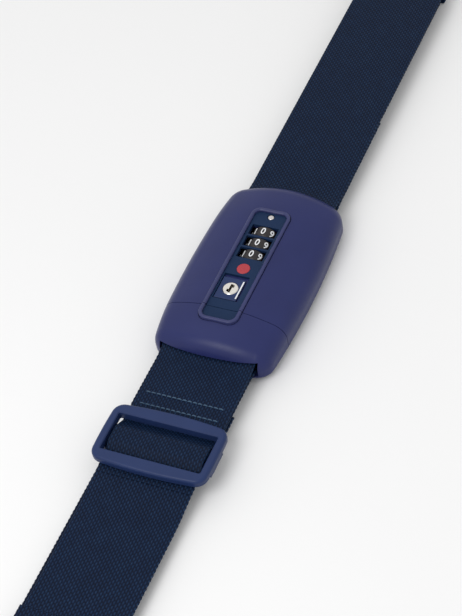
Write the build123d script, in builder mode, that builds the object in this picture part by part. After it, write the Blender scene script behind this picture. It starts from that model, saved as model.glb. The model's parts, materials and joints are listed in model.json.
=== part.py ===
from build123d import *
import math
import os

# Luggage strap with a combination and key lock buckle, lying flat and buckled.
# Frame: +X along the strap towards the far end of the lock body, +Z up from the
# surface it lies on, origin on that surface under the middle of the whole object.
# All lengths are in millimetres.

os.makedirs("parts", exist_ok=True)

# ---------------------------------------------------------------- driving sizes
# Webbing
web_width = 50.0
web_thick = 1.8
web_half = web_thick / 2
layer_pitch = 2.0            # centre to centre of two layers lying on each other
object_half = 306.0          # half the length of the folded strap
return_shift = 4.0           # the bottom run lies a little to the +Y side of the top run

# Lock, measured from the seam between its two halves
seam_x = -106.0
lock_far = seam_x + 90.7
lock_near = seam_x - 24.3
lock_half_width = 34.2
lock_bottom = 2.2
lock_crown = 23.2
lock_split = 8.4             # height at which the top shells meet the base shells
wall = 2.0
seam_gap = 0.3
cavity_floor = 4.0
cavity_ceiling = 18.8
tongue_ceiling = 15.6
crown_wall = 2.0
bar_height = 9.0             # centre of the steel bars that hold the webbing
bar_radius = 2.0
lock_bar_x = seam_x + 77.0
tongue_bar_x = seam_x - 15.0

# Control panel on top of the lock
panel_floor = 20.8
bezel_top = 23.7
insert_top = 22.2
bezel_ends = (seam_x - 9.1, seam_x + 68.5)
bezel_width = 21.4
rim_width = 1.9
rim_gap = 0.3

# Number dials
dial_places = (seam_x + 53.9, seam_x + 45.8, seam_x + 37.7)
dial_radius = 7.5
dial_width = 6.4
dial_height = 15.0           # centre of the dials

# Release slide, key cylinder and reset button
slide_travel = 1.8
slide_ends = (seam_x + 6.3, seam_x + 20.3)
slide_sides = (-4.3, 7.6)
key_x = seam_x + 13.2
key_y = 1.2
key_radius = 4.0
housing_radius = 4.8
button_x = seam_x + 64.2
button_radius = 1.65
button_travel = 1.2
badge_x = seam_x + 27.2
badge_radius = 3.4

# Tongue prongs and the latch that holds them
prong_inner = 18.0
prong_outer = 27.0
prong_low = 12.4
prong_high = 14.8
prong_reach = seam_x + 22.0
notch_ends = (seam_x + 9.7, seam_x + 13.0)

# Tri-glide adjuster
glide_x = seam_x - 79.8
glide_window = (22.0, 52.0)
glide_low = 10.2
glide_high = 14.8
middle_bar = (5.0, 7.2, 10.2)   # width, underside and top

web_top = 10.1               # centre line of the upper layer beside the lock
run_low = 6.3                # centre line of the upper run towards the -X fold
floor_run = web_half         # centre line of the bottom run

lock_screws = [(seam_x + 38.0, 24.0), (seam_x + 38.0, -24.0), (seam_x + 66.0, 22.0), (seam_x + 66.0, -22.0)]
tongue_screws = [(seam_x - 6.0, 10.0), (seam_x - 6.0, -10.0)]


touching = 1e-4              # two arcs that meet leave no straight run between them


# ---------------------------------------------------------------- helpers
def band(route):
    """Closed outline of webbing whose centre line is a route of (x, z, corner radius)."""
    points = [Vector(x, z) for x, z, radius in route]
    runs = [(b - a).normalized() for a, b in zip(points, points[1:])]
    sides = {}
    for side in (1, -1):
        edge_points = [(points[0] + runs[0].rotate(Axis.Z, 90) * side * web_half, None)]
        for index in range(1, len(points) - 1):
            before, after = runs[index - 1], runs[index]
            turn = math.atan2(before.X * after.Y - before.Y * after.X, before.dot(after))
            radius = route[index][2]
            reach = radius * math.tan(abs(turn) / 2)
            start = points[index] - before * reach
            finish = points[index] + after * reach
            to_centre = before.rotate(Axis.Z, 90 if turn > 0 else -90)
            centre = start + to_centre * radius
            middle = (points[index] - centre).normalized()
            arc_radius = radius - web_half * side * (1 if turn > 0 else -1)
            arc_start = centre + (start - centre).normalized() * arc_radius
            arc_finish = centre + (finish - centre).normalized() * arc_radius
            edge_points.append((arc_start, None))
            edge_points.append((arc_finish, centre + middle * arc_radius))
        edge_points.append((points[-1] + runs[-1].rotate(Axis.Z, 90) * side * web_half, None))
        sides[side] = edge_points
    for side in (1, -1):
        edge_points = sides[side]
        for (a, _), (b, through) in zip(edge_points, edge_points[1:]):
            if through is not None:
                ThreePointArc(a, through, b)
            elif (b - a).length > touching:
                Line(a, b)
    Line(sides[1][0][0], sides[-1][0][0])
    Line(sides[1][-1][0], sides[-1][-1][0])


def route_length(route):
    """Length of a rounded route's centre line."""
    points = [Vector(x, z) for x, z, radius in route]
    runs = [(b - a) for a, b in zip(points, points[1:])]
    total = sum(run.length for run in runs)
    for index in range(1, len(points) - 1):
        turn = math.radians(runs[index - 1].get_angle(runs[index]))
        radius = route[index][2]
        total -= 2 * radius * math.tan(turn / 2) - radius * turn
    return total


def web_part(route, shift=0.0):
    """Webbing of the strap's width along a route in the XZ plane."""
    with BuildPart() as piece:
        with BuildSketch(Plane.XZ.offset(-shift)):
            with BuildLine():
                band(route)
            make_face()
        extrude(amount=web_width / 2, both=True)
    return piece.part


def rounded_slab(ends, width, radius, low, high):
    """Upright slab with a rounded rectangular outline between two x positions."""
    with BuildPart() as slab:
        with BuildSketch(Plane.XY.offset(low)):
            with Locations(((ends[0] + ends[1]) / 2, 0)):
                RectangleRounded(ends[1] - ends[0], width, radius)
        extrude(amount=high - low)
    return slab.part


def block(x_ends, y_ends, z_ends):
    """Plain rectangular block between given limits."""
    with BuildPart() as piece:
        with BuildSketch(Plane.XY.offset(z_ends[0])):
            with Locations(((x_ends[0] + x_ends[1]) / 2, (y_ends[0] + y_ends[1]) / 2)):
                Rectangle(x_ends[1] - x_ends[0], y_ends[1] - y_ends[0])
        extrude(amount=z_ends[1] - z_ends[0])
    return piece.part


def post(x, y, radius, low, high):
    """Upright round post."""
    with BuildPart() as piece:
        with BuildSketch(Plane.XY.offset(low)):
            with Locations((x, y)):
                Circle(radius)
        extrude(amount=high - low)
    return piece.part


def coil(foot, direction, radius, wire, height, turns):
    """Compression spring that starts at its foot and runs along a direction."""
    with BuildPart() as piece:
        with BuildLine():
            centre_line = Helix(height / turns, height, radius, center=foot, direction=direction)
        with BuildSketch(Plane(centre_line @ 0, z_dir=centre_line % 0)):
            Circle(wire)
        sweep(is_frenet=True)
    return piece.part


def save(piece, name):
    piece.label = name
    export_step(piece, f"parts/{name}.step")


# ---------------------------------------------------------------- lock forms
side_corner = 31.0           # half width of the outline at its corners
near_bow = 1.6
far_bow = 4.5
side_middle = (lock_near + lock_far) / 2


def lock_outline(inset):
    """Plan of the lock with bowed sides, drawn inset by a wall thickness."""
    near = lock_near + inset
    far = lock_far - inset
    corner = side_corner - inset
    ThreePointArc((near + near_bow, -corner), (side_middle, inset - lock_half_width), (far - far_bow, -corner))
    ThreePointArc((far - far_bow, -corner), (far, 0), (far - far_bow, corner))
    ThreePointArc((far - far_bow, corner), (side_middle, lock_half_width - inset), (near + near_bow, corner))
    ThreePointArc((near + near_bow, corner), (near, 0), (near + near_bow, -corner))


crown_radius = 80.0
near_corner = 9.0
far_corner = 11.0
top_round = 9.5
bottom_round = 2.5

# Barrel whose skin is the top of the lock: level along the panel, and falling to both ends
level_ends = (seam_x + 4.0, seam_x + 60.0)
near_fall = 4.6
far_fall = 3.4
near_radius = ((level_ends[0] - lock_near) ** 2 + near_fall**2) / (2 * near_fall)
far_radius = ((lock_far - level_ends[1]) ** 2 + far_fall**2) / (2 * far_fall)
barrel_axis = lock_crown - crown_radius
with BuildPart() as crowned:
    with BuildSketch(Plane.XZ):
        with BuildLine():
            near_top = Line((lock_near, barrel_axis), (lock_near, lock_crown - near_fall))
            near_arc = RadiusArc(near_top @ 1, (level_ends[0], lock_crown), near_radius)
            level = Line(near_arc @ 1, (level_ends[1], lock_crown))
            far_arc = RadiusArc(level @ 1, (lock_far, lock_crown - far_fall), far_radius)
            Polyline(far_arc @ 1, (lock_far, barrel_axis), near_top @ 0)
        make_face()
    revolve(axis=Axis((0, 0, barrel_axis), (1, 0, 0)))

with BuildPart() as lock_form:
    with BuildSketch(Plane.XY.offset(lock_bottom)) as form_plan:
        with BuildLine():
            lock_outline(0)
        make_face()
        fillet(form_plan.vertices().sort_by(Axis.X)[:2], near_corner)
        fillet(form_plan.vertices().sort_by(Axis.X)[-2:], far_corner)
    extrude(amount=lock_crown - lock_bottom)
    add(crowned.part, mode=Mode.INTERSECT)
    fillet(lock_form.faces().sort_by(Axis.Z)[-1].edges(), top_round)
    fillet(lock_form.faces().sort_by(Axis.Z)[0].edges(), bottom_round)

with BuildPart() as lock_cavity:
    with BuildSketch(Plane.XY.offset(cavity_floor)) as cavity_plan:
        with BuildLine():
            lock_outline(wall)
        make_face()
        fillet(cavity_plan.vertices().sort_by(Axis.X)[:2], near_corner - wall)
        fillet(cavity_plan.vertices().sort_by(Axis.X)[-2:], far_corner - wall)
    extrude(amount=cavity_ceiling - cavity_floor)
    fillet(lock_cavity.faces().sort_by(Axis.Z)[-1].edges(), 4.9)
    add(block((seam_x - seam_gap - wall, seam_x + wall), (-40, 40), (0, 30)), mode=Mode.SUBTRACT)
    add(block((lock_near, seam_x), (-40, 40), (tongue_ceiling, 30)), mode=Mode.SUBTRACT)
    for x, y in ((crown_wall, 0), (-crown_wall, 0), (0, crown_wall), (0, -crown_wall)):
        add(lock_form.part.moved(Location((x, y, -crown_wall))), mode=Mode.INTERSECT)


# ---------------------------------------------------------------- lock shells
lock_side = block((seam_x, lock_far + 5), (-40, 40), (0, 30))
tongue_side = block((lock_near - 5, seam_x - seam_gap), (-40, 40), (0, 30))
above_split = block((lock_near - 5, lock_far + 5), (-40, 40), (lock_split, 30))
below_split = block((lock_near - 5, lock_far + 5), (-40, 40), (0, lock_split))

# Slots at the two ends for the webbing, and in the seam walls for the prongs
web_slots = [block(ends, (-26.3, 26.3), (4.9, 13.1)) for ends in ((lock_near - 1, lock_near + 6), (lock_far - 6, lock_far + 1))]
prong_slots = [block((seam_x - 3, seam_x + 3), sides, (11.9, 15.3)) for sides in ((17.4, 27.6), (-27.6, -17.4))]

# Recess for the panel, and the windows under it
panel_recess = rounded_slab((bezel_ends[0] - rim_gap, bezel_ends[1] + rim_gap), bezel_width + 2 * rim_gap, 5.3, panel_floor, 30)
dial_well = block((dial_places[2] - 4.0, dial_places[0] + 4.0), (-7.9, 7.9), (cavity_ceiling - 1, panel_floor + 1))
with BuildPart() as housing_slot:
    with BuildSketch(Plane.XY.offset(cavity_ceiling - 1)):
        with Locations((key_x + slide_travel / 2, key_y)):
            SlotCenterToCenter(slide_travel, 2 * (housing_radius + 0.3))
    extrude(amount=panel_floor - cavity_ceiling + 2)
button_hole = post(button_x, 0, button_radius + 0.15, cavity_ceiling - 1, panel_floor + 1)

screw_radius = 0.95
screw_boss = 2.6
head_radius = 1.9
head_depth = 1.8
screw_top = 14.0



def shell_top(side, screws, cuts):
    """Domed upper shell of one half, with its screw bosses."""
    with BuildPart() as shell:
        add(lock_form.part)
        add(side, mode=Mode.INTERSECT)
        add(above_split, mode=Mode.INTERSECT)
        add(lock_cavity.part, mode=Mode.SUBTRACT)
        for x, y in screws:
            add(post(x, y, screw_boss, lock_split, cavity_ceiling))
            add(post(x, y, screw_radius + 0.03, lock_split, screw_top + 0.5), mode=Mode.SUBTRACT)
        add(lock_form.part, mode=Mode.INTERSECT)
        add(cuts + web_slots + prong_slots, mode=Mode.SUBTRACT)
    return shell.part


def shell_base(side, screws, bar_x):
    """Lower shell of one half, with its screw posts and the two seats of the webbing bar."""
    with BuildPart() as shell:
        add(lock_form.part)
        add(side, mode=Mode.INTERSECT)
        add(below_split, mode=Mode.INTERSECT)
        add(lock_cavity.part, mode=Mode.SUBTRACT)
        for x, y in screws:
            add(post(x, y, screw_boss, cavity_floor, lock_split))
        for y in (-26.7, 26.7):
            add(block((bar_x - 3.0, bar_x + 3.0), (y - 1.1, y + 1.1), (cavity_floor, bar_height + 2.8)))
        with BuildSketch(Plane.XZ):
            with Locations((bar_x, bar_height)):
                Circle(bar_radius + 0.02)
        extrude(amount=30.0, both=True, mode=Mode.SUBTRACT)
        for x, y in screws:
            add(post(x, y, head_radius + 0.1, lock_bottom, lock_bottom + head_depth), mode=Mode.SUBTRACT)
            add(post(x, y, screw_radius + 0.1, lock_bottom, lock_split), mode=Mode.SUBTRACT)
        add(web_slots + prong_slots, mode=Mode.SUBTRACT)
    return shell.part


panel_cuts = [panel_recess, dial_well, housing_slot.part, button_hole]
save(shell_top(lock_side, lock_screws, panel_cuts), "lock_top_shell")
save(shell_base(lock_side, lock_screws, lock_bar_x), "lock_base_shell")
save(shell_top(tongue_side, tongue_screws, [panel_recess]), "tongue_top_shell")
save(shell_base(tongue_side, tongue_screws, tongue_bar_x), "tongue_base_shell")


def screws(places):
    """Countersunk housing screws as one group of separate solids."""
    with BuildPart() as group:
        for x, y in places:
            add(post(x, y, head_radius, lock_bottom + 0.2, lock_bottom + head_depth))
            add(post(x, y, screw_radius, lock_bottom + head_depth, screw_top))
    return group.part


save(screws(lock_screws), "lock_screws")
save(screws(tongue_screws), "tongue_screws")


def webbing_bar(x):
    """Steel bar across a half of the lock that the webbing goes round."""
    with BuildPart() as bar:
        with BuildSketch(Plane.XZ.offset(-27.8)):
            with Locations((x, bar_height)):
                Circle(bar_radius)
        extrude(amount=55.6)
        chamfer(bar.edges(), 0.4)
    return bar.part


save(webbing_bar(lock_bar_x), "lock_webbing_bar")
save(webbing_bar(tongue_bar_x), "tongue_webbing_bar")


# ---------------------------------------------------------------- panel
slide_opening = block((seam_x + 5.6, seam_x + 22.4), (-5.6, 7.9), (panel_floor - 1, insert_top + 1))

with BuildPart() as bezel_ring:
    add(rounded_slab(bezel_ends, bezel_width, 5.0, panel_floor, bezel_top))
    fillet(bezel_ring.faces().sort_by(Axis.Z)[-1].edges(), 0.8)
    inner_ends = (bezel_ends[0] + rim_width, bezel_ends[1] - rim_width)
    add(rounded_slab(inner_ends, bezel_width - 2 * rim_width, 3.2, panel_floor, bezel_top), mode=Mode.SUBTRACT)
    chamfer(bezel_ring.faces().sort_by(Axis.Z)[-1].inner_wires()[0].edges(), 0.5)

with BuildPart() as insert_plate:
    insert_ends = (bezel_ends[0] + rim_width + 0.05, bezel_ends[1] - rim_width - 0.05)
    add(rounded_slab(insert_ends, bezel_width - 2 * rim_width - 0.1, 3.15, panel_floor, insert_top))

for form, name in ((bezel_ring, "panel_bezel"), (insert_plate, "panel_insert")):
    with BuildPart() as tongue_part:
        add(form.part)
        add(tongue_side, mode=Mode.INTERSECT)
    save(tongue_part.part, f"tongue_{name}")

with BuildPart() as lock_bezel:
    add(bezel_ring.part)
    add(lock_side, mode=Mode.INTERSECT)
save(lock_bezel.part, "lock_panel_bezel")

badge_seat = 21.6
with BuildPart() as lock_insert:
    add(insert_plate.part)
    add(lock_side, mode=Mode.INTERSECT)
    add(slide_opening, mode=Mode.SUBTRACT)
    for x in dial_places:
        add(block((x - 3.45, x + 3.45), (-7.2, 7.2), (panel_floor - 1, insert_top + 1)), mode=Mode.SUBTRACT)
    add(post(button_x, 0, button_radius + 0.15, panel_floor - 1, insert_top + 1), mode=Mode.SUBTRACT)
    add(post(button_x, 0, button_radius + 0.35, insert_top - 0.5, insert_top + 1), mode=Mode.SUBTRACT)
    add(post(badge_x, 0, badge_radius + 0.05, badge_seat, insert_top + 1), mode=Mode.SUBTRACT)
save(lock_insert.part, "lock_panel_insert")

with BuildPart() as badge:
    add(post(badge_x, 0, badge_radius, badge_seat, insert_top + 0.2))
    fillet(badge.faces().sort_by(Axis.Z)[-1].edges(), 0.3)
save(badge.part, "panel_badge")


# ---------------------------------------------------------------- number dials
sleeve_radius = 4.1
spindle_radius = 1.6
spindle_ends = (seam_x + 30.4, seam_x + 61.8)

for number, x in enumerate(dial_places, start=1):
    with BuildPart() as dial:
        with BuildSketch(Plane.YZ.offset(x - dial_width / 2)):
            with Locations((0, dial_height)):
                Circle(dial_radius)
                Circle(sleeve_radius + 0.05, mode=Mode.SUBTRACT)
        extrude(amount=dial_width)
        outer_rims = dial.edges().filter_by(GeomType.CIRCLE).filter_by(lambda e: e.radius > dial_radius - 0.1)
        chamfer(outer_rims, 0.5)
        with BuildSketch(Plane.YZ.offset(x - dial_width / 2)):
            with Locations((0, dial_height)):
                with PolarLocations(dial_radius + 0.25, 10, start_angle=18):
                    Circle(0.6)
        extrude(amount=dial_width, mode=Mode.SUBTRACT)
    save(dial.part, f"number_dial_{number}")

    with BuildPart() as sleeve:
        with BuildSketch(Plane.YZ.offset(x - dial_width / 2 + 0.2)):
            with Locations((0, dial_height)):
                Circle(sleeve_radius)
                Circle(spindle_radius + 0.1, mode=Mode.SUBTRACT)
            with Locations((0, dial_height + spindle_radius + 0.6)):
                Rectangle(1.3, 1.6, mode=Mode.SUBTRACT)
        extrude(amount=dial_width - 0.4)
    save(sleeve.part, f"dial_clutch_{number}")

with BuildPart() as spindle:
    with BuildSketch(Plane.YZ.offset(spindle_ends[0])):
        with Locations((0, dial_height)):
            Circle(spindle_radius)
    extrude(amount=spindle_ends[1] - spindle_ends[0])
    chamfer(spindle.edges(), 0.3)
save(spindle.part, "dial_spindle")

# Chassis that carries the spindle, the latch spring and the button spring
chassis_low = cavity_floor
chassis_high = 5.6
spindle_walls = ((seam_x + 30.4, seam_x + 32.8), (seam_x + 58.6, seam_x + 61.0))
strip_x = seam_x + 26.0
strip_thick = 1.2
spring_seat = 9.0
with BuildPart() as chassis:
    add(block((seam_x + 22.8, seam_x + 68.0), (-14.0, 14.0), (chassis_low, chassis_high)))
    for ends in spindle_walls:
        add(block(ends, (-5.0, 5.0), (chassis_high, 18.4)))
    with BuildSketch(Plane.YZ.offset(seam_x)):
        with Locations((0, dial_height)):
            Circle(spindle_radius + 0.03)
    extrude(amount=70.0, mode=Mode.SUBTRACT)
    for x in (strip_x - 1.5, strip_x + strip_thick):
        for y in (-9.5, 9.5):
            add(block((x, x + 1.5), (y - 2, y + 2), (chassis_high, prong_high)))
    add(post(button_x, 0, 2.6, chassis_high, spring_seat))
    add(post(button_x, 0, 1.2, chassis_high, spring_seat), mode=Mode.SUBTRACT)
save(chassis.part, "lock_chassis")

with BuildPart() as detent:
    add(block((spindle_walls[0][1] + 0.3, spindle_walls[1][0] - 0.3), (-9.0, -6.6), (chassis_high, chassis_high + 0.5)))
    for x in dial_places:
        with BuildSketch(Plane.YZ.offset(x - 1.2)):
            with BuildLine():
                Polyline((-7.2, 5.6), (-6.6, 5.6), (-1.0, 6.2), (0.0, 6.7), (1.0, 6.2), (1.0, 6.7),
                         (0.0, 7.2), (-1.0, 6.7), (-6.6, 6.1), (-7.2, 6.1), close=True)
            make_face()
        extrude(amount=2.4)
save(detent.part, "dial_detent_spring")


# ---------------------------------------------------------------- release slide and key cylinder
slide_low = panel_floor + 0.1
slide_high = insert_top - 0.1
mark_sides = (slide_sides[0] + 0.2, slide_sides[0] + 0.9)
mark_ends = (slide_ends[0] + 1.2, slide_ends[1] - 1.2)

with BuildPart() as slide:
    add(block(slide_ends, slide_sides, (slide_low, slide_high)))
    chamfer(slide.faces().sort_by(Axis.Z)[-1].edges(), 0.35)
    add(post(key_x, key_y, key_radius + 0.1, slide_low, slide_high), mode=Mode.SUBTRACT)
    add(block(mark_ends, mark_sides, (slide_high - 0.5, slide_high)), mode=Mode.SUBTRACT)
save(slide.part, "release_slide")

save(block(mark_ends, mark_sides, (slide_high - 0.5, slide_high)), "release_slide_mark")

driver_low = 16.8
driver_high = 18.2
with BuildPart() as housing:
    add(post(key_x, key_y, housing_radius, 12.2, slide_low))
    add(post(key_x, key_y, key_radius + 0.05, 12.2, slide_low), mode=Mode.SUBTRACT)
save(housing.part, "key_cylinder_housing")

tab_x = (seam_x + 22.6, seam_x + 23.8)
with BuildPart() as driver:
    add(block((seam_x + 7.0, tab_x[1]), (-18.4, 18.4), (driver_low, driver_high)))
    fillet(driver.edges().filter_by(Axis.Z), 2.0)
    add(block(tab_x, (-3.0, 3.0), (14.6, driver_high)))
    add(post(key_x, key_y, housing_radius + 0.03, driver_low - 1, driver_high + 1), mode=Mode.SUBTRACT)
    for y in (-15.6, 15.6):
        with BuildSketch(Plane.XY.offset(prong_low)):
            with Locations((seam_x + 20.0, y + math.copysign(1.5, y))):
                Circle(0.7)
        extrude(amount=driver_low - prong_low)
save(driver.part, "latch_driver")

# U-shaped leaf spring with a hook on each arm, held between the chassis posts
arm_y = 15.6
hook_ends = (seam_x + 10.0, seam_x + 12.7)
strip_middle = strip_x + strip_thick / 2
with BuildPart() as latch_spring:
    with BuildSketch(Plane.XY.offset(prong_low)):
        with BuildLine():
            FilletPolyline(
                (hook_ends[0], arm_y), (strip_middle, arm_y), (strip_middle, -arm_y), (hook_ends[0], -arm_y), radius=2.0
            )
            offset(amount=strip_thick / 2, side=Side.BOTH, kind=Kind.INTERSECTION)
        make_face()
        for side in (1, -1):
            with BuildLine():
                Polyline((hook_ends[1], side * arm_y), (hook_ends[1], side * 20.2), (hook_ends[0] + 0.8, side * 20.2),
                         (hook_ends[0], side * 17.5), (hook_ends[0], side * arm_y), close=True)
            make_face()
    extrude(amount=prong_high - prong_low)
save(latch_spring.part, "latch_spring")

plug_low = 11.2
plug_high = insert_top + 0.15
clip_low = 11.6
clip_thick = 0.5
clip_groove = 3.0
with BuildPart() as plug:
    add(post(key_x, key_y, key_radius, plug_low, plug_high))
    chamfer(plug.edges().sort_by(Axis.Z)[-1], 0.3)
    with BuildSketch(Plane.XY.offset(clip_low - 0.05)):
        with Locations((key_x, key_y)):
            Circle(key_radius + 1)
            Circle(clip_groove, mode=Mode.SUBTRACT)
    extrude(amount=clip_thick + 0.1, mode=Mode.SUBTRACT)
    with BuildSketch(Plane.XY.offset(plug_high)):
        with Locations((key_x, key_y)):
            Rectangle(5.4, 1.3)
        with Locations((key_x - 1.5, key_y + 0.9)):
            Rectangle(1.6, 1.3)
        with Locations((key_x + 1.5, key_y - 0.9)):
            Rectangle(1.6, 1.3)
    extrude(amount=-7.0, mode=Mode.SUBTRACT)
save(plug.part, "key_cylinder_plug")

with BuildPart() as clip:
    with BuildSketch(Plane.XY.offset(clip_low)):
        with Locations((key_x, key_y)):
            Circle(4.5)
            Circle(clip_groove + 0.05, mode=Mode.SUBTRACT)
        with Locations((key_x - 4, key_y)):
            Rectangle(5.0, 3.0, mode=Mode.SUBTRACT)
    extrude(amount=clip_thick)
save(clip.part, "key_retaining_clip")

with BuildPart() as cam:
    with BuildSketch(Plane.XY.offset(plug_low - 1.2)):
        with Locations((key_x, key_y)):
            Circle(3.2)
        with Locations((key_x + 3.5, key_y)):
            RectangleRounded(6.8, 3.2, 1.4)
    extrude(amount=1.2)
save(cam.part, "key_cam")


# ---------------------------------------------------------------- reset button and the coil springs
flange = (17.4, 18.4)
stem_low = 8.4
with BuildPart() as button:
    add(post(button_x, 0, button_radius, flange[0], insert_top - 0.2))
    fillet(button.faces().sort_by(Axis.Z)[-1].edges(), 0.4)
    add(post(button_x, 0, 2.5, flange[0], flange[1]))
    add(post(button_x, 0, 1.0, stem_low, flange[0]))
save(button.part, "reset_button")

reset_height = flange[0] - spring_seat - 0.5
save(coil((button_x, 0, spring_seat + 0.25), (0, 0, 1), 1.7, 0.2, reset_height, 7), "reset_spring")

release_length = spindle_walls[0][0] - tab_x[1] - 0.6
save(coil((tab_x[1] + 0.3, 0, 16.2), (1, 0, 0), 1.2, 0.2, release_length, 6), "release_spring")

ejector_y = 22.5
ejector_stop = seam_x + 33.0
with BuildPart() as ejectors:
    for side in (1, -1):
        foot = (prong_reach + 0.4, side * ejector_y, (prong_low + prong_high) / 2)
        add(coil(foot, (1, 0, 0), 1.7, 0.3, ejector_stop - prong_reach - 0.8, 6))
save(ejectors.part, "ejector_springs")

with BuildPart() as stops:
    for side in (1, -1):
        add(block((ejector_stop, ejector_stop + 2.0), (side * ejector_y - 3.4, side * ejector_y + 3.4), (cavity_floor, 15.9)))
save(stops.part, "ejector_stops")

# ---------------------------------------------------------------- tongue prongs
with BuildPart() as prongs:
    add(block((seam_x - 10.0, seam_x - 2.6), (-prong_outer, prong_outer), (prong_low, prong_high)))
    for side in (1, -1):
        outer, inner = side * prong_outer, side * prong_inner
        add(block((seam_x - 4.0, prong_reach), (min(inner, outer), max(inner, outer)), (prong_low, prong_high)))
        notch = side * (prong_inner + 2.5)
        add(block(notch_ends, (min(inner, notch), max(inner, notch)), (prong_low, prong_high)), mode=Mode.SUBTRACT)
    tips = prongs.edges().filter_by(Axis.Z).group_by(Axis.X)[-1]
    chamfer(tips, 2.0)
    for x, y in tongue_screws:
        add(post(x, y, screw_boss + 0.1, prong_low, prong_high), mode=Mode.SUBTRACT)
save(prongs.part, "tongue_prongs")


# ---------------------------------------------------------------- tri-glide adjuster
glide_half_length = 16.2
glide_half_width = 29.6
glide_bow = 1.8
with BuildPart() as glide:
    with BuildSketch(Plane.XY.offset(glide_low)) as glide_plan:
        with BuildLine():
            for side in (1, -1):
                ThreePointArc(
                    (glide_x + side * glide_half_length, -side * glide_half_width),
                    (glide_x + side * (glide_half_length + glide_bow), 0),
                    (glide_x + side * glide_half_length, side * glide_half_width),
                )
                ThreePointArc(
                    (glide_x + side * glide_half_length, side * glide_half_width),
                    (glide_x, side * (glide_half_width + 0.6)),
                    (glide_x - side * glide_half_length, side * glide_half_width),
                )
        make_face()
        fillet(glide_plan.vertices(), 6.0)
    extrude(amount=glide_high - glide_low)
    fillet(glide.faces().sort_by(Axis.Z)[-1].edges(), 1.6)
    fillet(glide.faces().sort_by(Axis.Z)[0].edges(), 1.2)
    with BuildSketch(Plane.XY.offset(glide_low)):
        with Locations((glide_x, 0)):
            RectangleRounded(glide_window[0], glide_window[1], 0.8)
    extrude(amount=glide_high - glide_low, mode=Mode.SUBTRACT)
    chamfer(glide.faces().sort_by(Axis.Z)[-1].inner_wires()[0].edges(), 0.5)
    for side in (1, -1):
        sides = sorted((side * glide_window[1] / 2, side * (glide_half_width - 0.6)))
        add(block((glide_x - 7.0, glide_x + 7.0), sides, (middle_bar[1], glide_low + 1.6)))
    with BuildSketch(Plane.XZ):
        with Locations((glide_x, (middle_bar[1] + middle_bar[2]) / 2)):
            RectangleRounded(middle_bar[0], middle_bar[2] - middle_bar[1], 1.2)
    extrude(amount=glide_window[1] / 2 + 1, both=True)
save(glide.part, "triglide_adjuster")


# ---------------------------------------------------------------- webbing
bar_loop = bar_radius + 0.2 + web_half          # radius of the centre line round a bar
bar_top = bar_height + bar_loop
bar_under = bar_height - bar_loop
under_bar = glide_low - 0.1 - web_half          # centre line under the tri-glide's outer bars
second_top = web_top - layer_pitch
second_under = under_bar - layer_pitch
third_under = second_under - layer_pitch - 0.1
bar_over = middle_bar[2] + 0.1 + web_half
bar_below = middle_bar[1] - 0.1 - web_half
middle_loop = (bar_over - bar_below) / 2
crown = bar_over + layer_pitch - 0.1

hank_start = seam_x + 270.0
hank_pitch = 2.1
hank_turn = hank_pitch / 2
hank_left = hank_start + 3.65
hank_right = object_half - web_half - hank_turn
hank_top = floor_run + 5 * hank_pitch
fold_x = -object_half + 2.7 + web_half
fold_radius = (run_low - floor_run) / 2
fold_joint = fold_x + 20.0
glide_split_far = glide_x + 15.5                # ends of the webbing that travels with the adjuster
glide_split_near = glide_x - 20.0
ramp = ((glide_x - 36.0, run_low), (glide_x - 16.0, under_bar))
ramp_split = ramp[0][1] + (ramp[1][1] - ramp[0][1]) * (glide_split_near - ramp[0][0]) / (ramp[1][0] - ramp[0][0])
lower_split = glide_x + 34.0                    # where the sewn end meets the lower layer

slope_start = (lock_far + 4.0, web_top)
slope_end = (hank_start, hank_top)
tail_end = seam_x + 157.0


def along_slope(x):
    """Height of the upper run's centre line between the lock and the folded excess."""
    share = (x - slope_start[0]) / (slope_end[0] - slope_start[0])
    return slope_start[1] + share * (slope_end[1] - slope_start[1])


routes = {}
routes["strap_lock_end"] = [
    (tail_end, along_slope(tail_end) - layer_pitch, 0),
    (slope_start[0], slope_start[1] - layer_pitch, 40),
    (lock_bar_x + 2.5, bar_under, 4),
    (lock_bar_x - bar_loop, bar_under, bar_loop),
    (lock_bar_x - bar_loop, bar_top, bar_loop),
    (lock_bar_x + 2.5, bar_top, 4),
    (slope_start[0], slope_start[1], 40),
    (slope_end[0], slope_end[1], 0),
]
hank_route = [(hank_start, hank_top, 0)]
for level in range(5):
    turn_x = (hank_right, hank_left)[level % 2]
    turn_x += (hank_turn, -hank_turn)[level % 2]
    height = hank_top - level * hank_pitch
    hank_route.append((turn_x, height, hank_turn))
    hank_route.append((turn_x, height - hank_pitch, hank_turn))
hank_route.append((hank_start, floor_run, 0))
routes["strap_hank"] = hank_route
routes["strap_bottom_run"] = [(hank_start, floor_run, 0), (fold_joint, floor_run, 0)]
routes["strap_end_fold"] = [
    (fold_joint, floor_run, 0),
    (fold_x - fold_radius, floor_run, fold_radius),
    (fold_x - fold_radius, run_low, fold_radius),
    (fold_joint, run_low, 0),
]
routes["strap_lower_run"] = [
    (fold_joint, run_low, 0),
    (ramp[0][0], ramp[0][1], 40),
    (glide_split_near, ramp_split, 0),
]
routes["strap_adjuster_run"] = [
    (glide_split_near, ramp_split, 0),
    (ramp[1][0], ramp[1][1], 8),
    (glide_x - 10.0, under_bar, 3),
    (glide_x - 4.2, crown, 3),
    (glide_x + 3.6, crown, 3),
    (glide_x + 10.2, under_bar, 3),
    (glide_split_far, under_bar, 0),
]
routes["strap_sewn_end"] = [
    (lower_split, second_top, 0),
    (glide_x + 21.5, second_top, 8),
    (glide_x + 17.6, second_under, 8),
    (glide_x + 9.4, second_under, 3),
    (glide_x + 2.6, bar_over, 3),
    (glide_x - 1.1 - middle_loop, bar_over, middle_loop),
    (glide_x - 1.1 - middle_loop, bar_below, middle_loop),
    (glide_x + 2.6, bar_below, 10),
    (glide_x + 7.6, third_under, 10),
    (lower_split - 4.0, third_under, 0),
]
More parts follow.
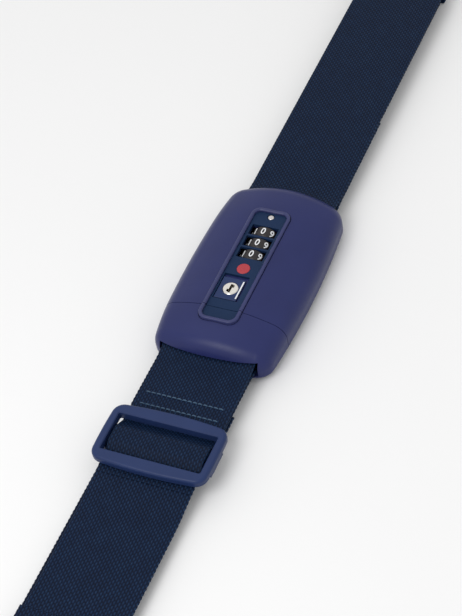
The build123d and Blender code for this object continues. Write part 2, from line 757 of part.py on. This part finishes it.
routes["strap_tongue_loop"] = [
    (lower_split, second_top, 0),
    (lock_near - 4.0, second_top, 30),
    (tongue_bar_x - 2.5, bar_under, 4),
    (tongue_bar_x + bar_loop, bar_under, bar_loop),
    (tongue_bar_x + bar_loop, bar_top, bar_loop),
    (tongue_bar_x - 2.5, bar_top, 4),
    (lock_near - 4.0, web_top, 30),
    (glide_x + 21.5, web_top, 8),
    (glide_x + 17.6, under_bar, 8),
    (glide_split_far, under_bar, 0),
]
shifts = {"strap_bottom_run": return_shift, "strap_end_fold": return_shift / 2, "strap_hank": return_shift / 2}
for name, route in routes.items():
    save(web_part(route, shifts.get(name, 0.0)), name)
print("webbing length", round(sum(route_length(route) for route in routes.values()), 1))

# Two rows of thread across the upper layer, next to the adjuster
stitch_rows = (glide_x + 29.0, glide_x + 21.6)
stitch_length = 2.0
stitch_count = 15
stitch_pitch = 2.75
with BuildPart() as stitches:
    for x in stitch_rows:
        for index in range(stitch_count):
            y = (index - (stitch_count - 1) / 2) * stitch_pitch
            sides = (y - stitch_length / 2, y + stitch_length / 2)
            add(block((x - 0.35, x + 0.35), sides, (web_top + web_half, web_top + web_half + 0.35)))
save(stitches.part, "strap_stitching")
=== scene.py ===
import json
import math

import bpy
import numpy as np
from mathutils import Matrix, Vector


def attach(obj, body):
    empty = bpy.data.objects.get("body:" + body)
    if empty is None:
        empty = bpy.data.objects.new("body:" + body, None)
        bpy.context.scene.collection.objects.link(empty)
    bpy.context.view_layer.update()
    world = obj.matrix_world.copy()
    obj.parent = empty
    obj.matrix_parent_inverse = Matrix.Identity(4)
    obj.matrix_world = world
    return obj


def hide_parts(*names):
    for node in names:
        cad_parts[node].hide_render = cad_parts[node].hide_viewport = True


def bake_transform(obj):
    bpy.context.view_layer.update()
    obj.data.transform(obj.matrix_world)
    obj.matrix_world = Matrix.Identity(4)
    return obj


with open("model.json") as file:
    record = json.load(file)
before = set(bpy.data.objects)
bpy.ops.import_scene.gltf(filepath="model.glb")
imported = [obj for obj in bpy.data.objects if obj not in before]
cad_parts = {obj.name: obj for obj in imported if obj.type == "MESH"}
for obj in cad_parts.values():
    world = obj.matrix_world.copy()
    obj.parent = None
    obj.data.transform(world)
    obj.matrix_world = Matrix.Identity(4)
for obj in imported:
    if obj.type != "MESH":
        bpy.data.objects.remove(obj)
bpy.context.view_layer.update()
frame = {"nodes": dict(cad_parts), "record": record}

MM = 0.001

# ---------------------------------------------------------------- driving sizes, in millimetres
OBJECT_HALF = 306.0
SEAM_X = -106.0
LOCK_FAR = SEAM_X + 90.7
LOCK_NEAR = SEAM_X - 24.3
GLIDE_X = SEAM_X - 79.8
WEB_HALF = 0.9
LAYER_PITCH = 2.0
WEB_TOP = 10.1
RUN_LOW = 6.3
FLOOR_RUN = WEB_HALF
RETURN_SHIFT = 4.0
BAR_HEIGHT = 9.0
BAR_RADIUS = 2.0
LOCK_BAR_X = SEAM_X + 77.0
TONGUE_BAR_X = SEAM_X - 15.0
GLIDE_LOW = 10.2
MIDDLE_BAR_LOW = 7.2
DIAL_PLACES = (SEAM_X + 53.9, SEAM_X + 45.8, SEAM_X + 37.7)
DIAL_RADIUS = 7.5
DIAL_HEIGHT = 15.0

RIB_WIDTH = 1.3                 # weave: width of one rib across the band
FLOAT_LENGTH = 2.5              # length of one float along it
RELIEF = 0.34                   # depth of the weave
WEB_EDGE = 24.95                # half the band's width
EDGE_ROUND = 0.8                # width over which each edge thins out
FACE_GAP = 0.02                 # how far the floats stay under the solid's face
SCALLOP_DEPTH = 0.011           # share of the width the selvedge dips between floats
WELD_GAP = 1e-6                 # points nearer than this count as one

STITCHES_PER_ROW = 15
STITCH_PITCH = 2.75
STITCH_HALF = 1.05              # half the length of one stitch
STITCH_SINK = 0.12              # how far a stitch sits into the webbing
STITCH_RISE = 0.22              # rise of its middle, and how far its ends dive
STITCH_DIVE = 0.75
THREAD_RADIUS = 0.36

NUMERAL_SIZE = 5.6
NUMERAL_DEPTH = 0.16
NUMERAL_BOLD = 0.05
NUMERAL_WIDEN = (0.88, 1.02)    # scale of a numeral round the wheel and along the spindle
NUMERAL_SINK = 0.04


# ---------------------------------------------------------------- materials
def new_material(name):
    """New node material, its node tree and its Principled shader."""
    material = bpy.data.materials.new(name)
    material.use_nodes = True
    return material, material.node_tree, material.node_tree.nodes["Principled BSDF"]


def add_node(tree, kind, **values):
    """Node with settings by attribute name, and input values by socket name."""
    node = tree.nodes.new(kind)
    for key, value in values.items():
        if hasattr(node, key):
            setattr(node, key, value)
        else:
            node.inputs[key.replace("_", " ")].default_value = value
    return node


def noise(tree, scale, detail=4.0, stretch=None):
    """Noise in object space, stretched along an axis if asked."""
    place = add_node(tree, "ShaderNodeTexCoord")
    source = place.outputs["Object"]
    if stretch is not None:
        mapping = add_node(tree, "ShaderNodeMapping")
        mapping.inputs["Scale"].default_value = stretch
        tree.links.new(source, mapping.inputs["Vector"])
        source = mapping.outputs["Vector"]
    texture = add_node(tree, "ShaderNodeTexNoise", Scale=scale, Detail=detail)
    tree.links.new(source, texture.inputs["Vector"])
    return texture.outputs["Fac"]


def ramp(tree, factor, stops):
    """Colour from a factor through (position, colour) stops."""
    node = add_node(tree, "ShaderNodeValToRGB")
    node.color_ramp.elements[0].position = stops[0][0]
    node.color_ramp.elements[0].color = (*stops[0][1], 1)
    node.color_ramp.elements[1].position = stops[-1][0]
    node.color_ramp.elements[1].color = (*stops[-1][1], 1)
    for position, color in stops[1:-1]:
        node.color_ramp.elements.new(position).color = (*color, 1)
    tree.links.new(factor, node.inputs["Fac"])
    return node.outputs["Color"]


def grey_ramp(tree, factor, low, high):
    """Value from low to high over the middle of a noise."""
    node = add_node(tree, "ShaderNodeMapRange", From_Min=0.3, From_Max=0.7, To_Min=low, To_Max=high)
    tree.links.new(factor, node.inputs["Value"])
    return node.outputs["Result"]


def bump(tree, shader, height, strength, distance):
    """Surface grain from a height, distance in metres."""
    node = add_node(tree, "ShaderNodeBump", Strength=strength, Distance=distance)
    tree.links.new(height, node.inputs["Height"])
    tree.links.new(node.outputs["Normal"], shader.inputs["Normal"])


def shade(color, amount):
    """Colour made lighter or darker, kept within range."""
    return tuple(min(1.0, channel * amount) for channel in color)


def moulded(name, color, rough=(0.34, 0.46), grain=9000.0, depth=0.00002, vary=0.16, coat=0.0, gloss=0.5):
    """Moulded plastic with a fine grain, and tone that drifts a little over the part."""
    material, tree, shader = new_material(name)
    drift = noise(tree, 60.0, 3.0)
    tone = ramp(tree, drift, [(0.3, shade(color, 1 - vary)), (0.7, shade(color, 1 + vary))])
    tree.links.new(tone, shader.inputs["Base Color"])
    tree.links.new(grey_ramp(tree, noise(tree, 900.0), *rough), shader.inputs["Roughness"])
    shader.inputs["IOR"].default_value = 1.5
    shader.inputs["Specular IOR Level"].default_value = gloss
    shader.inputs["Coat Weight"].default_value = coat
    shader.inputs["Coat Roughness"].default_value = 0.3
    bump(tree, shader, noise(tree, grain, 2.0), 0.35, depth)
    return material


def metal(name, color, rough=(0.22, 0.34), stretch=(1.0, 12.0, 12.0)):
    """Plated or drawn metal with fine directional marks."""
    material, tree, shader = new_material(name)
    marks = noise(tree, 900.0, 3.0, stretch)
    tone = ramp(tree, marks, [(0.3, shade(color, 0.88)), (0.7, shade(color, 1.06))])
    tree.links.new(tone, shader.inputs["Base Color"])
    tree.links.new(grey_ramp(tree, marks, *rough), shader.inputs["Roughness"])
    shader.inputs["Metallic"].default_value = 1.0
    bump(tree, shader, marks, 0.25, 0.00001)
    return material


def webbing_material():
    """Woven polyester: painted shade darkens the colour between the ribs and a painted highlight lightens the
    floats, with fine filaments along them.
    """
    material, tree, shader = new_material("webbing_weave")
    # the weave height drives painted shade in the valleys between the ribs and a painted highlight on the float
    # tops
    relief = add_node(tree, "ShaderNodeAttribute", attribute_name="float_height")
    worn = noise(tree, 220.0, 3.0)
    uv = add_node(tree, "ShaderNodeUVMap", uv_map="along_across")
    mapping = add_node(tree, "ShaderNodeMapping")
    mapping.inputs["Scale"].default_value = (900.0, 9000.0, 1.0)
    tree.links.new(uv.outputs["UV"], mapping.inputs["Vector"])
    filaments = add_node(tree, "ShaderNodeTexNoise", Scale=1.0, Detail=2.0)
    tree.links.new(mapping.outputs["Vector"], filaments.inputs["Vector"])
    mixed = add_node(tree, "ShaderNodeMath", operation="MULTIPLY_ADD")
    mixed.inputs[1].default_value = 0.34
    tree.links.new(filaments.outputs["Fac"], mixed.inputs[0])
    tree.links.new(relief.outputs["Fac"], mixed.inputs[2])
    patch = add_node(tree, "ShaderNodeMath", operation="MULTIPLY_ADD")
    patch.inputs[1].default_value = 0.30
    tree.links.new(worn, patch.inputs[0])
    tree.links.new(mixed.outputs[0], patch.inputs[2])
    share = add_node(tree, "ShaderNodeMath", operation="MULTIPLY")
    share.inputs[1].default_value = 0.62
    tree.links.new(patch.outputs[0], share.inputs[0])
    # painted shade to painted highlight: near black between the ribs, light blue on the float tops, varied by
    # the filaments and random patches
    tone = ramp(tree, share.outputs[0], [
        (0.22, (0.0006, 0.0022, 0.008)),
        (0.50, (0.0020, 0.0085, 0.030)),
        (0.74, (0.0060, 0.0220, 0.062)),
        (0.90, (0.0240, 0.0600, 0.120)),
    ])
    tree.links.new(tone, shader.inputs["Base Color"])
    shader.inputs["Roughness"].default_value = 0.55
    shader.inputs["Specular IOR Level"].default_value = 0.12
    shader.inputs["Sheen Weight"].default_value = 0.02
    shader.inputs["Sheen Roughness"].default_value = 0.4
    shader.inputs["Sheen Tint"].default_value = (0.45, 0.58, 0.85, 1)
    bump(tree, shader, filaments.outputs["Fac"], 0.5, 0.00006)
    return material


SHELL = moulded("shell_plastic", (0.0190, 0.0250, 0.105), rough=(0.30, 0.38), vary=0.05, gloss=0.22)
PANEL = moulded(
    "panel_plastic", (0.0075, 0.024, 0.070),
    rough=(0.5, 0.62), grain=14000.0, depth=0.00004, vary=0.08, gloss=0.15,
)
RIM = moulded("rim_plastic", (0.034, 0.040, 0.125), rough=(0.30, 0.38), vary=0.05, gloss=0.3)
DIAL = moulded("dial_plastic", (0.012, 0.008, 0.009), rough=(0.36, 0.50))
CLUTCH = moulded("clutch_plastic", (0.50, 0.49, 0.45))
SLIDER = moulded("slider_plastic", (0.0160, 0.0320, 0.105), rough=(0.32, 0.42), vary=0.06, gloss=0.22)
CHASSIS = moulded("chassis_plastic", (0.05, 0.05, 0.055))
WHITE = moulded("mark_paint", (0.80, 0.81, 0.83), rough=(0.35, 0.45), vary=0.03)
BADGE = moulded("badge_enamel", (0.40, 0.018, 0.030), rough=(0.2, 0.3), vary=0.08, coat=0.2)
KEY_METAL = metal("key_metal", (0.78, 0.75, 0.70))
BUTTON_METAL = metal("button_metal", (0.72, 0.69, 0.67))
STEEL = metal("steel", (0.60, 0.60, 0.61))
SPRING_STEEL = metal("spring_steel", (0.46, 0.46, 0.48))
BRASS = metal("brass_parts", (0.66, 0.50, 0.22))
THREAD = moulded("thread", (0.040, 0.085, 0.150), rough=(0.6, 0.75), grain=5000.0, depth=0.00006)
WEBBING = webbing_material()

BY_SLOT = {
    "shell_plastic": SHELL, "panel_plastic": PANEL, "rim_plastic": RIM, "dial_plastic": DIAL,
    "clutch_plastic": CLUTCH, "slider_plastic": SLIDER, "chassis_plastic": CHASSIS, "mark_paint": WHITE,
    "badge_enamel": BADGE, "key_metal": KEY_METAL, "button_metal": BUTTON_METAL, "steel": STEEL,
    "spring_steel": SPRING_STEEL, "brass_parts": BRASS, "webbing": WEBBING, "thread": THREAD,
}
for part in frame["record"]["subparts"]:
    node = frame["nodes"][part["node"]]
    node.data.materials.clear()
    node.data.materials.append(BY_SLOT[part["material_slot"]])


# ---------------------------------------------------------------- webbing
def rounded_path(route, step):
    """Points every step along a route of straights whose corners are rounded, and their running length."""
    points = [np.array(point[:2], float) for point in route]
    line = [points[0]]
    for before, corner, after, radius in zip(points, points[1:], points[2:], [p[2] for p in route[1:]]):
        arriving = (corner - before) / np.linalg.norm(corner - before)
        leaving = (after - corner) / np.linalg.norm(after - corner)
        turn = math.atan2(arriving[0] * leaving[1] - arriving[1] * leaving[0], float(arriving @ leaving))
        reach = radius * math.tan(abs(turn) / 2)
        normal = np.array([-arriving[1], arriving[0]]) * math.copysign(1, turn)
        start = corner - arriving * reach
        centre = start + normal * radius
        count = max(2, int(abs(turn) / 0.02))
        for index in range(count + 1):
            angle = turn * index / count
            spoke = start - centre
            turned = np.array([
                spoke[0] * math.cos(angle) - spoke[1] * math.sin(angle),
                spoke[0] * math.sin(angle) + spoke[1] * math.cos(angle),
            ])
            line.append(centre + turned)
    line.append(points[-1])
    line = np.array(line)
    gaps = np.linalg.norm(np.diff(line, axis=0), axis=1)
    line = line[np.concatenate([[True], gaps > WELD_GAP])]
    length = np.concatenate([[0], np.cumsum(np.linalg.norm(np.diff(line, axis=0), axis=1))])
    stations = np.linspace(0, length[-1], max(2, round(length[-1] / step)) + 1)
    even = np.stack([np.interp(stations, length, line[:, axis]) for axis in (0, 1)], 1)
    return even, stations


def float_height(along, across):
    """Height of the weave from 0 between the ribs to 1 on a float."""
    rib = across / RIB_WIDTH
    column = np.round(rib)
    in_rib = rib - column
    phase = along / FLOAT_LENGTH + 0.5 * (column % 2)
    in_float = phase - np.round(phase)
    return np.cos(np.pi * in_rib) ** 0.8 * np.cos(np.pi * in_float) ** 0.6


def webbing(name, route, node, shift=0.0, start=0.0, fine=True):
    """Woven band along a route, as a closed mesh with real relief on both faces and a scalloped selvedge."""
    step, cell = (FLOAT_LENGTH / 5, RIB_WIDTH / 4) if fine else (FLOAT_LENGTH / 2, RIB_WIDTH / 2)
    path, stations = rounded_path(route, step)
    along = stations + start
    direction = np.gradient(path, axis=0)
    direction /= np.linalg.norm(direction, axis=1)[:, None]
    normal = np.stack([-direction[:, 1], direction[:, 0]], 1)
    flat_half = WEB_EDGE - EDGE_ROUND
    flat = np.arange(-flat_half, flat_half + WELD_GAP, cell)
    rounding = np.array([0.15, 0.4, 0.62, 0.8])
    across = np.concatenate([-flat_half - rounding[::-1], flat, flat_half + rounding])
    edge = np.clip((np.abs(across) - flat_half) / EDGE_ROUND, 0, 1)
    slimming = np.sqrt(np.clip(1 - edge ** 2, 0, 1))
    scallop = 1 - SCALLOP_DEPTH * (1 - np.abs(np.cos(np.pi * along / FLOAT_LENGTH)))
    grid_u, grid_v = np.meshgrid(along, across, indexing="ij")
    top_relief = float_height(grid_u, grid_v)
    low_relief = float_height(grid_u + FLOAT_LENGTH / 2, grid_v)
    top = (WEB_HALF - FACE_GAP - RELIEF * (1 - top_relief)) * slimming
    low = (WEB_HALF - FACE_GAP - RELIEF * (1 - low_relief)) * slimming
    wide = grid_v * scallop[:, None]

    def surface(offset, columns):
        """Points at an offset from the route's centre line, one row per station."""
        x = path[:, :1] + normal[:, :1] * offset[:, columns]
        z = path[:, 1:] + normal[:, 1:] * offset[:, columns]
        return np.stack([x, wide[:, columns] + shift, z], -1)

    columns = np.arange(len(across))
    back = columns[-2:0:-1]
    ring = np.concatenate([surface(top, columns), surface(-low, back)], 1)
    heights = np.concatenate([top_relief, low_relief[:, back]], 1)
    rows, around = ring.shape[:2]
    index = np.arange(rows * around).reshape(rows, around)
    following = np.roll(index, -1, axis=1)
    faces = np.stack([index[:-1], index[1:], following[1:], following[:-1]], -1).reshape(-1, 4)
    count = len(across)
    caps = []
    for row, order in ((0, 1), (rows - 1, -1)):
        upper = index[row, :count]
        lower = np.concatenate([[index[row, 0]], index[row, count:][::-1], [index[row, count - 1]]])
        for k in range(count - 1):
            cap = [upper[k], upper[k + 1], lower[k + 1], lower[k]][::order]
            caps.append(list(dict.fromkeys(int(v) for v in cap)))
    mesh = bpy.data.meshes.new(name)
    mesh.from_pydata((ring.reshape(-1, 3) * MM).tolist(), [], faces.tolist() + caps)
    # the float height is stored for the webbing material, which paints shade between the ribs and a highlight on
    # the floats from it
    height = mesh.attributes.new("float_height", "FLOAT", "POINT")
    height.data.foreach_set("value", heights.reshape(-1).astype(np.float32))
    uv = mesh.uv_layers.new(name="along_across")
    v_ring = np.concatenate([across, across[back]])
    per_vertex = np.stack([np.repeat(along, around), np.tile(v_ring, rows)], 1) * MM
    corners = np.empty(len(mesh.loops), int)
    mesh.loops.foreach_get("vertex_index", corners)
    uv.data.foreach_set("uv", per_vertex[corners].reshape(-1).astype(np.float32))
    mesh.polygons.foreach_set("use_smooth", np.ones(len(mesh.polygons), bool))
    mesh.materials.append(WEBBING)
    piece = bpy.data.objects.new(name, mesh)
    bpy.context.scene.collection.objects.link(piece)
    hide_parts(node)
    return piece, stations[-1]


# Heights and places of the band's centre line, and the routes: (x, z, corner radius)
bar_loop = BAR_RADIUS + 0.2 + WEB_HALF
bar_top = BAR_HEIGHT + bar_loop
bar_under = BAR_HEIGHT - bar_loop
under_bar = GLIDE_LOW - 0.1 - WEB_HALF
second_top = WEB_TOP - LAYER_PITCH
second_under = under_bar - LAYER_PITCH
third_under = second_under - LAYER_PITCH - 0.1
bar_over = GLIDE_LOW + 0.1 + WEB_HALF
bar_below = MIDDLE_BAR_LOW - 0.1 - WEB_HALF
middle_loop = (bar_over - bar_below) / 2
crown = bar_over + LAYER_PITCH - 0.1
hank_start = SEAM_X + 270.0
hank_pitch = 2.1
hank_turn = hank_pitch / 2
hank_left = hank_start + 3.65
hank_right = OBJECT_HALF - WEB_HALF - hank_turn
hank_top = FLOOR_RUN + 5 * hank_pitch
fold_x = -OBJECT_HALF + 2.7 + WEB_HALF
fold_radius = (RUN_LOW - FLOOR_RUN) / 2
fold_joint = fold_x + 20.0
glide_split_far = GLIDE_X + 15.5
glide_split_near = GLIDE_X - 20.0
ramp_start = (GLIDE_X - 36.0, RUN_LOW)
ramp_end = (GLIDE_X - 16.0, under_bar)
ramp_slope = (ramp_end[1] - ramp_start[1]) / (ramp_end[0] - ramp_start[0])
ramp_split = ramp_start[1] + ramp_slope * (glide_split_near - ramp_start[0])
lower_split = GLIDE_X + 34.0
slope_start = (LOCK_FAR + 4.0, WEB_TOP)
slope_end = (hank_start, hank_top)
tail_end = SEAM_X + 157.0
tail_share = (tail_end - slope_start[0]) / (slope_end[0] - slope_start[0])
tail_height = slope_start[1] + tail_share * (slope_end[1] - slope_start[1]) - LAYER_PITCH

lock_end_route = [
    (tail_end, tail_height, 0),
    (slope_start[0], slope_start[1] - LAYER_PITCH, 40),
    (LOCK_BAR_X + 2.5, bar_under, 4),
    (LOCK_BAR_X - bar_loop, bar_under, bar_loop),
    (LOCK_BAR_X - bar_loop, bar_top, bar_loop),
    (LOCK_BAR_X + 2.5, bar_top, 4),
    (slope_start[0], slope_start[1], 40),
    (slope_end[0], slope_end[1], 0),
]
hank_route = [(hank_start, hank_top, 0)]
for level in range(5):
    turn_x = (hank_right + hank_turn, hank_left - hank_turn)[level % 2]
    level_height = hank_top - level * hank_pitch
    hank_route += [(turn_x, level_height, hank_turn), (turn_x, level_height - hank_pitch, hank_turn)]
hank_route.append((hank_start, FLOOR_RUN, 0))
bottom_route = [(hank_start, FLOOR_RUN, 0), (fold_joint, FLOOR_RUN, 0)]
fold_route = [
    (fold_joint, FLOOR_RUN, 0),
    (fold_x - fold_radius, FLOOR_RUN, fold_radius),
    (fold_x - fold_radius, RUN_LOW, fold_radius),
    (fold_joint, RUN_LOW, 0),
]
lower_route = [(fold_joint, RUN_LOW, 0), (*ramp_start, 40), (glide_split_near, ramp_split, 0)]
adjuster_route = [
    (glide_split_near, ramp_split, 0),
    (*ramp_end, 8),
    (GLIDE_X - 10.0, under_bar, 3),
    (GLIDE_X - 4.2, crown, 3),
    (GLIDE_X + 3.6, crown, 3),
    (GLIDE_X + 10.2, under_bar, 3),
    (glide_split_far, under_bar, 0),
]
sewn_route = [
    (lower_split, second_top, 0),
    (GLIDE_X + 21.5, second_top, 8),
    (GLIDE_X + 17.6, second_under, 8),
    (GLIDE_X + 9.4, second_under, 3),
    (GLIDE_X + 2.6, bar_over, 3),
    (GLIDE_X - 1.1 - middle_loop, bar_over, middle_loop),
    (GLIDE_X - 1.1 - middle_loop, bar_below, middle_loop),
    (GLIDE_X + 2.6, bar_below, 10),
    (GLIDE_X + 7.6, third_under, 10),
    (lower_split - 4.0, third_under, 0),
]
tongue_route = [
    (lower_split, second_top, 0),
    (LOCK_NEAR - 4.0, second_top, 30),
    (TONGUE_BAR_X - 2.5, bar_under, 4),
    (TONGUE_BAR_X + bar_loop, bar_under, bar_loop),
    (TONGUE_BAR_X + bar_loop, bar_top, bar_loop),
    (TONGUE_BAR_X - 2.5, bar_top, 4),
    (LOCK_NEAR - 4.0, WEB_TOP, 30),
    (GLIDE_X + 21.5, WEB_TOP, 8),
    (GLIDE_X + 17.6, under_bar, 8),
    (glide_split_far, under_bar, 0),
]

lock_end, lock_end_length = webbing("webbing_lock_end", lock_end_route, "strap_lock_end")
hank, hank_length = webbing("webbing_folded_excess", hank_route, "strap_hank", RETURN_SHIFT / 2, fine=False)
bottom, bottom_length = webbing("webbing_bottom_run", bottom_route, "strap_bottom_run", RETURN_SHIFT, fine=False)
fold, fold_length = webbing("webbing_end_fold", fold_route, "strap_end_fold", RETURN_SHIFT / 2)
lower, lower_length = webbing("webbing_lower_run", lower_route, "strap_lower_run")
over, over_length = webbing("webbing_over_adjuster", adjuster_route, "strap_adjuster_run", start=lower_length)
sewn, sewn_length = webbing("webbing_sewn_end", sewn_route, "strap_sewn_end")
loop, loop_length = webbing("webbing_tongue_loop", tongue_route, "strap_tongue_loop")

for piece in (lock_end, hank, bottom):
    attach(piece, "lock_half")
for piece in (over, sewn):
    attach(piece, "adjuster")
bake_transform(fold)
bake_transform(lower)
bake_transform(loop)


# ---------------------------------------------------------------- stitching
def tube(points, radius, sides=8):
    """Vertices and faces of a round thread through points."""
    vertices, faces = [], []
    for index, point in enumerate(points):
        ahead = points[min(index + 1, len(points) - 1)] - points[max(index - 1, 0)]
        ahead.normalize()
        side = Vector((1, 0, 0))
        up = side.cross(ahead).normalized()
        for k in range(sides):
            angle = 2 * math.pi * k / sides
            vertices.append(point + radius * (math.cos(angle) * side + math.sin(angle) * up))
    for index in range(len(points) - 1):
        for k in range(sides):
            a, b = index * sides + k, index * sides + (k + 1) % sides
            faces.append((a, b, b + sides, a + sides))
    faces.append(tuple(range(sides))[::-1])
    faces.append(tuple(range((len(points) - 1) * sides, len(points) * sides)))
    return vertices, faces


def mesh_object(name, vertices, faces, material, smooth=True):
    """Object from vertices in metres, with one material."""
    mesh = bpy.data.meshes.new(name)
    mesh.from_pydata([tuple(v) for v in vertices], [], faces)
    mesh.materials.append(material)
    mesh.polygons.foreach_set("use_smooth", np.full(len(mesh.polygons), smooth))
    piece = bpy.data.objects.new(name, mesh)
    bpy.context.scene.collection.objects.link(piece)
    return piece


stitch_rows = (GLIDE_X + 29.0, GLIDE_X + 21.6)
vertices, faces = [], []
for row_x in stitch_rows:
    for index in range(STITCHES_PER_ROW):
        middle = (index - STITCHES_PER_ROW // 2) * STITCH_PITCH
        points = []
        for k in range(9):
            share = k / 4 - 1
            lift = STITCH_RISE - STITCH_DIVE * share ** 4
            height = WEB_TOP + WEB_HALF + lift - STITCH_SINK
            points.append(Vector((row_x, middle + STITCH_HALF * share, height)) * MM)
        more, sides = tube(points, THREAD_RADIUS * MM)
        faces += [tuple(v + len(vertices) for v in face) for face in sides]
        vertices += more
stitching = mesh_object("stitch_thread", vertices, faces, THREAD)
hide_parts("strap_stitching")
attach(stitching, "adjuster")


# ---------------------------------------------------------------- numbers on the wheels
def numeral(number):
    """Flat outline mesh of one numeral, centred, in millimetres: x to its right, y up."""
    text = bpy.data.curves.new(f"numeral_{number}", "FONT")
    text.body = str(number)
    text.size = NUMERAL_SIZE
    text.align_x = "CENTER"
    text.align_y = "CENTER"
    text.extrude = NUMERAL_DEPTH
    text.offset = NUMERAL_BOLD
    text.resolution_u = 6
    holder = bpy.data.objects.new("numeral", text)
    bpy.context.scene.collection.objects.link(holder)
    bpy.context.view_layer.update()
    mesh = bpy.data.meshes.new_from_object(holder)
    points = [v.co.copy() for v in mesh.vertices]
    faces = [tuple(p.vertices) for p in mesh.polygons]
    bpy.data.objects.remove(holder)
    middle_y = (min(p.y for p in points) + max(p.y for p in points)) / 2
    middle_x = (min(p.x for p in points) + max(p.x for p in points)) / 2
    return [Vector((p.x - middle_x, p.y - middle_y, p.z)) for p in points], faces


numerals = [numeral(number) for number in range(10)]
for dial, dial_x in enumerate(DIAL_PLACES, start=1):
    vertices, faces = [], []
    for number, (points, outline) in enumerate(numerals):
        base = len(vertices)
        for point in points:
            angle = point.x * NUMERAL_WIDEN[0] / DIAL_RADIUS - number * math.pi / 5
            radius = DIAL_RADIUS - NUMERAL_SINK + point.z
            vertices.append(Vector((
                dial_x + point.y * NUMERAL_WIDEN[1],
                -radius * math.sin(angle),
                DIAL_HEIGHT + radius * math.cos(angle),
            )) * MM)
        faces += [tuple(v + base for v in face) for face in outline]
    numbers = mesh_object(f"dial_{dial}_numbers", vertices, faces, WHITE, smooth=False)
    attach(numbers, f"dial_{dial}")


# ---------------------------------------------------------------- floor, light and camera
bpy.ops.mesh.primitive_plane_add(size=6.0, location=(0, 0, -0.0002))
floor = bpy.context.object
floor.name = "floor"
floor_material, floor_tree, floor_shader = new_material("pale_floor")
floor_tree.links.new(
    ramp(floor_tree, noise(floor_tree, 2.0), [(0.3, (0.86, 0.86, 0.86)), (0.7, (0.88, 0.88, 0.88))]),
    floor_shader.inputs["Base Color"],
)
floor_shader.inputs["Roughness"].default_value = 0.9
floor.data.materials.append(floor_material)

world = bpy.data.worlds.new("soft_white")
world.use_nodes = True
world.node_tree.nodes["Background"].inputs["Color"].default_value = (1.0, 1.0, 1.0, 1)
world.node_tree.nodes["Background"].inputs["Strength"].default_value = 0.80
bpy.context.scene.world = world
bpy.context.scene.view_settings.view_transform = "Standard"

LOOK_AT = Vector((-96.0, 1.25, 11.0)) * MM


def soft_light(name, azimuth, elevation, distance, size, power):
    """Square area light that faces the lock."""
    lamp = bpy.data.lights.new(name, "AREA")
    lamp.shape = "SQUARE"
    lamp.size = size
    lamp.energy = power
    holder = bpy.data.objects.new(name, lamp)
    around, above = math.radians(azimuth), math.radians(elevation)
    toward = Vector((math.cos(above) * math.cos(around), math.cos(above) * math.sin(around), math.sin(above)))
    holder.location = LOOK_AT + toward * distance
    holder.rotation_euler = toward.to_track_quat("Z", "Y").to_euler()
    bpy.context.scene.collection.objects.link(holder)


soft_light("key_light", 165, 52, 1.0, 0.5, 3.2)
soft_light("fill_light", 60, 65, 1.2, 0.8, 0.8)

CAMERA_AZIMUTH = math.radians(211.74)
CAMERA_ELEVATION = math.radians(47.66)
CAMERA_ROLL = math.radians(-11.93)
CAMERA_DISTANCE = 0.9205
CAMERA_LENS = 107.96
away = Vector((
    math.cos(CAMERA_ELEVATION) * math.cos(CAMERA_AZIMUTH),
    math.cos(CAMERA_ELEVATION) * math.sin(CAMERA_AZIMUTH),
    math.sin(CAMERA_ELEVATION),
))
level_right = (-away).cross(Vector((0, 0, 1))).normalized()
level_up = level_right.cross(-away)
right = math.cos(CAMERA_ROLL) * level_right + math.sin(CAMERA_ROLL) * level_up
up = math.cos(CAMERA_ROLL) * level_up - math.sin(CAMERA_ROLL) * level_right
camera_data = bpy.data.cameras.new("camera")
camera_data.lens = CAMERA_LENS
camera_data.sensor_width = 36.0
camera_data.clip_start = 0.01
camera = bpy.data.objects.new("camera", camera_data)
turned = Matrix((right, up, away)).transposed().to_4x4()
camera.matrix_world = Matrix.Translation(LOOK_AT + away * CAMERA_DISTANCE) @ turned
bpy.context.scene.collection.objects.link(camera)
bpy.context.scene.camera = camera
